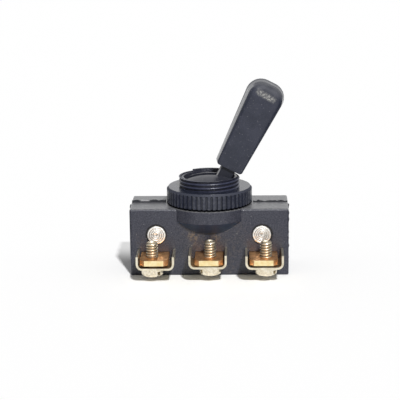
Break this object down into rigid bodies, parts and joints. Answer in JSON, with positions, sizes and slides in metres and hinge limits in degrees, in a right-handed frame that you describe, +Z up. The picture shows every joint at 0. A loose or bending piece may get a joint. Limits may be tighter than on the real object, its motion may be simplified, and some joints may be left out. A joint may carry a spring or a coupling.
{
  "type": "indicator stalk switch",
  "caption": "Panel toggle switch: riveted two-part black case, threaded neck with knurled ring nut, paddle lever on a pivot pin, rocker contacts and screw terminals with wire clips.",
  "frame": {"origin": "on the flat base, under the middle of the neck", "axes": "+X to the right as seen from the terminals, +Y away from the terminals, +Z up along the neck"},
  "size_m": [0.0466, 0.0314, 0.0564],
  "materials": {
    "case_moulding": "bluish charcoal moulded phenolic, dusty, with fine pale specks",
    "nut_moulding": "bluish charcoal moulding, a little worn along the knurl",
    "lever_moulding": "dark bluish charcoal moulding, satin, scuffed pale near the tip",
    "rivet_metal": "bright spun metal with forming rings",
    "tab_copper": "tarnished copper-brown strip with bright sheared edges",
    "clip_zinc": "pale yellowish zinc plate",
    "screw_steel": "yellowish zinc-plated steel",
    "pin_steel": "plain drawn steel",
    "plunger_brass": "turned brass",
    "spring_steel": "plain spring wire",
    "rocker_brass": "formed brass strip",
    "contact_silver": "silver contact metal"
  },
  "bodies": {
    "housing": {"housing_front": "case_moulding", "housing_rear": "case_moulding", "rivet_left": "rivet_metal", "rivet_right": "rivet_metal", "pivot_pin": "pin_steel", "contact_left": "tab_copper", "contact_center": "tab_copper", "contact_right": "tab_copper", "contact_button_left": "contact_silver", "contact_button_right": "contact_silver"},
    "lever": {"lever": "lever_moulding", "plunger_spring": "spring_steel"},
    "plunger": {"plunger": "plunger_brass"},
    "rocker": {"rocker": "rocker_brass", "rocker_button_left": "contact_silver", "rocker_button_right": "contact_silver"},
    "nut": {"ring_nut": "nut_moulding"},
    "clamp_left": {"saddle_left": "clip_zinc", "screw_left": "screw_steel"},
    "clamp_center": {"saddle_center": "clip_zinc", "screw_center": "screw_steel"},
    "clamp_right": {"saddle_right": "clip_zinc", "screw_right": "screw_steel"}
  },
  "joints": [
    {"name": "lever_swing", "type": "hinge", "parent": "housing", "child": "lever", "pos_m": [0, 0, 0.0189], "axis": [0, 1, 0], "range_deg": [-52.8, 0]},
    {"name": "rocker_tip", "type": "hinge", "parent": "housing", "child": "rocker", "pos_m": [0, 0, 0.00795], "axis": [0, 1, 0], "range_deg": [-0.2, 12.2]},
    {"name": "plunger_push", "type": "slide", "parent": "lever", "child": "plunger", "axis": [0.4446, 0, 0.8957], "range_m": [0, 0.0012], "stiffness_N_per_m": 300, "deforming": ["plunger_spring"]},
    {"name": "nut_run", "type": "slide", "parent": "housing", "child": "nut", "axis": [0, 0, 1], "range_m": [0, 0.003]},
    {"name": "clamp_left_drop", "type": "slide", "parent": "housing", "child": "clamp_left", "axis": [0, 0, -1], "range_m": [0, 0.0015]},
    {"name": "clamp_center_drop", "type": "slide", "parent": "housing", "child": "clamp_center", "axis": [0, 0, -1], "range_m": [0, 0.0015]},
    {"name": "clamp_right_drop", "type": "slide", "parent": "housing", "child": "clamp_right", "axis": [0, 0, -1], "range_m": [0, 0.0015]}
  ],
  "couplings": [
    {"joint": "rocker_tip", "follows": "lever_swing", "ratio": -0.22727}
  ]
}
